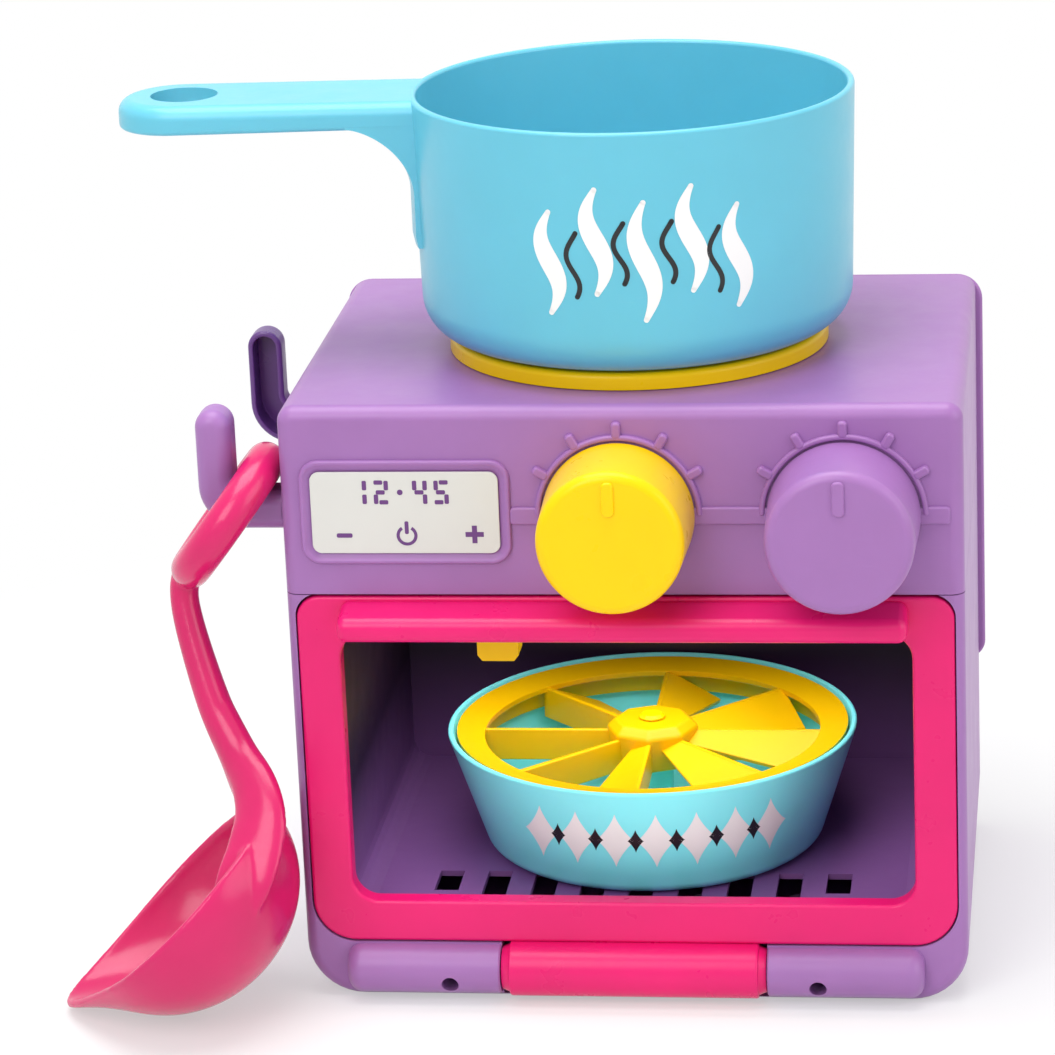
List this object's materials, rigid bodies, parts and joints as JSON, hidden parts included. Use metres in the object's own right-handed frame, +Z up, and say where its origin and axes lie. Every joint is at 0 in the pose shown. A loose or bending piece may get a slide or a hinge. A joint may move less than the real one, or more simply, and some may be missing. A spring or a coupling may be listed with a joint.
{
  "type": "bath toy kitchen",
  "caption": "Toy kitchen for the bath: cabinet with a perforated hob, oven with a drop-down door, dials, air pump, spinning cake tin, pan and ladle.",
  "frame": {"origin": "centre of the cabinet's flat base: x in the middle of its width, y in the middle of its depth, z on its underside", "axes": "+Z up, -Y towards the front with the oven door and the dials, +X to the right as seen from the front; the hooks are on -X"},
  "size_m": [0.2736, 0.2051, 0.2652],
  "materials": {
    "purple_plastic": "satin",
    "dark_purple_plastic": "satin",
    "pink_plastic": "gloss",
    "yellow_plastic": "gloss",
    "light_blue_plastic": "gloss",
    "white_acetal": "satin",
    "label_card": "satin",
    "clear_soft_pvc": "soft gloss",
    "zinc_plated_steel": "bright"
  },
  "bodies": {
    "cabinet": {"upper_casing": "purple_plastic", "lower_casing": "purple_plastic", "rear_cover": "purple_plastic", "ladle_hook_front": "purple_plastic", "ladle_hook_rear": "purple_plastic", "oven_liner": "dark_purple_plastic", "shower_plate": "dark_purple_plastic", "mechanism_bracket": "dark_purple_plastic", "hob_ring": "yellow_plastic", "hob_plate": "yellow_plastic", "drain_spout": "yellow_plastic", "air_nozzle": "yellow_plastic", "pump_cylinder": "white_acetal", "cylinder_cap": "white_acetal", "sump_tray": "white_acetal", "display_label": "label_card", "suction_cup_1": "clear_soft_pvc", "suction_cup_2": "clear_soft_pvc", "suction_cup_3": "clear_soft_pvc", "suction_cup_4": "clear_soft_pvc", "air_hose": "clear_soft_pvc", "front_screw_left": "zinc_plated_steel", "front_screw_right": "zinc_plated_steel", "rear_screw_low_left": "zinc_plated_steel", "rear_screw_low_right": "zinc_plated_steel", "rear_screw_high_left": "zinc_plated_steel", "rear_screw_high_right": "zinc_plated_steel", "click_spring": "zinc_plated_steel"},
    "door": {"oven_door": "pink_plastic"},
    "bubble_dial": {"bubble_knob": "yellow_plastic", "bubble_shaft": "white_acetal", "pump_pinion": "white_acetal"},
    "pump": {"pump_rack": "white_acetal", "pump_piston": "yellow_plastic", "piston_seal": "clear_soft_pvc"},
    "click_dial": {"click_knob": "purple_plastic", "click_shaft": "white_acetal", "click_ratchet": "white_acetal"},
    "pan": {"saucepan": "light_blue_plastic"},
    "tin": {"cake_tin": "light_blue_plastic", "spinner_axle": "zinc_plated_steel", "spinner_cap": "yellow_plastic"},
    "water_wheel": {"spinner": "yellow_plastic"},
    "ladle_body": {"ladle": "pink_plastic"}
  },
  "joints": [
    {"name": "door_hinge", "type": "hinge", "parent": "cabinet", "child": "door", "pos_m": [0, -0.073, 0.01], "axis": [1, 0, 0], "range_deg": [0, 85]},
    {"name": "bubble_turn", "type": "hinge", "parent": "cabinet", "child": "bubble_dial", "pos_m": [0, -0.0527, 0.1535], "axis": [0, -1, 0], "range_deg": [-90, 90]},
    {"name": "pump_slide", "type": "slide", "parent": "cabinet", "child": "pump", "axis": [1, 0, 0], "range_m": [-0.01886, 0.01886]},
    {"name": "click_turn", "type": "hinge", "parent": "cabinet", "child": "click_dial", "pos_m": [0.0654, -0.0527, 0.1535], "axis": [0, -1, 0], "range_deg": [-90, 90]},
    {"name": "pan_lift", "type": "slide", "parent": "cabinet", "child": "pan", "axis": [0, 0, 1], "range_m": [0, 0.08]},
    {"name": "tin_lift", "type": "slide", "parent": "cabinet", "child": "tin", "axis": [0, 0, 1], "range_m": [0, 0.035]},
    {"name": "wheel_spin", "type": "hinge", "parent": "tin", "child": "water_wheel", "pos_m": [0, 0, 0.062], "axis": [0, 0, 1], "continuous": true},
    {"name": "ladle_unhook", "type": "slide", "parent": "cabinet", "child": "ladle_body", "axis": [-0.135, 0, 0.9908], "range_m": [0, 0.05]}
  ],
  "couplings": [
    {"joint": "pump_slide", "follows": "bubble_turn", "m_per_rad": 0.012}
  ]
}
